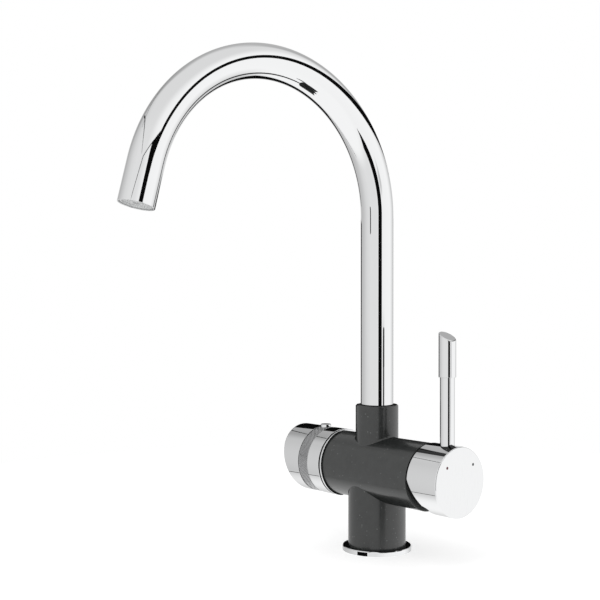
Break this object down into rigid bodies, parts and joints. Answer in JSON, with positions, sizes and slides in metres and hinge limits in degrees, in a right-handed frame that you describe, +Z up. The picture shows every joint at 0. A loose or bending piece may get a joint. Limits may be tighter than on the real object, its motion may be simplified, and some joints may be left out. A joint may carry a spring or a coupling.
{
  "type": "three-way kitchen faucet",
  "caption": "Deck-mounted kitchen faucet: swivel arc spout on a dark barrel body, tilting mixing lever at one end, quarter-turn knob for filtered water at the other.",
  "frame": {"origin": "centre of the base's underside, at the mouth of the stud hole", "axes": "+Z up along the riser, +X along the barrel towards the mixing lever, -Y towards the outlet"},
  "size_m": [0.1669, 0.2429, 0.3579],
  "materials": {
    "granite_coat": "matte",
    "chrome": "polished",
    "brass": "satin",
    "steel": "satin",
    "rubber": "matte",
    "ceramic_disc": "polished",
    "white_plastic": "satin",
    "grey_plastic": "satin",
    "black_plastic": "satin",
    "red_mark": "gloss",
    "cold_mark_grey": "gloss"
  },
  "bodies": {
    "body": {"body_casting": "granite_coat", "base_ring": "chrome", "base_gasket": "rubber", "swivel_thrust_ring": "white_plastic", "swivel_guide_ring": "black_plastic", "spout_lock_screw": "steel", "cartridge_housing": "white_plastic", "cartridge_base_seals": "rubber", "cartridge_fixed_disc": "ceramic_disc", "cartridge_nut": "brass", "cartridge_shroud": "black_plastic", "filter_valve_body": "brass", "filter_valve_seal": "rubber", "filter_valve_seat": "rubber", "filter_valve_fixed_disc": "ceramic_disc", "knob_trim_ring": "chrome"},
    "spout": {"spout_tube": "chrome", "spout_foot": "brass", "spout_foot_seals": "rubber", "filter_spigot_seal": "rubber", "filter_water_tube": "white_plastic", "aerator_housing": "grey_plastic", "aerator_insert": "grey_plastic", "filter_nozzle": "grey_plastic"},
    "turret": {"cartridge_turret": "white_plastic", "cartridge_pin": "steel"},
    "disc": {"cartridge_moving_disc": "ceramic_disc", "cartridge_disc_carrier": "black_plastic"},
    "handle": {"handle_cap": "chrome", "cartridge_stem": "steel", "lever_rod": "chrome", "lever_grip": "chrome", "handle_set_screw": "steel", "hot_mark": "red_mark", "cold_mark": "cold_mark_grey"},
    "knob": {"filter_knob": "chrome", "knob_peg": "chrome", "filter_valve_spindle": "brass", "filter_spindle_seals": "rubber", "filter_spindle_clip": "steel", "filter_valve_turning_disc": "ceramic_disc"}
  },
  "joints": [
    {"name": "spout_swivel", "type": "hinge", "parent": "body", "child": "spout", "pos_m": [0, 0, 0.085], "axis": [0, 0, 1], "continuous": true},
    {"name": "lever_turn", "type": "hinge", "parent": "body", "child": "turret", "pos_m": [0.045, 0, 0.06], "axis": [1, 0, 0], "range_deg": [-45, 45]},
    {"name": "lever_tilt", "type": "hinge", "parent": "turret", "child": "handle", "pos_m": [0.045, 0, 0.06], "axis": [0, 1, 0], "range_deg": [0, 22]},
    {"name": "disc_slide", "type": "slide", "parent": "turret", "child": "disc", "axis": [0, 0, 1], "range_m": [0, 0.0046]},
    {"name": "filter_knob_turn", "type": "hinge", "parent": "body", "child": "knob", "pos_m": [-0.037, 0, 0.06], "axis": [1, 0, 0], "range_deg": [0, 90]}
  ],
  "couplings": [
    {"joint": "disc_slide", "follows": "lever_tilt", "m_per_rad": 0.01167}
  ]
}
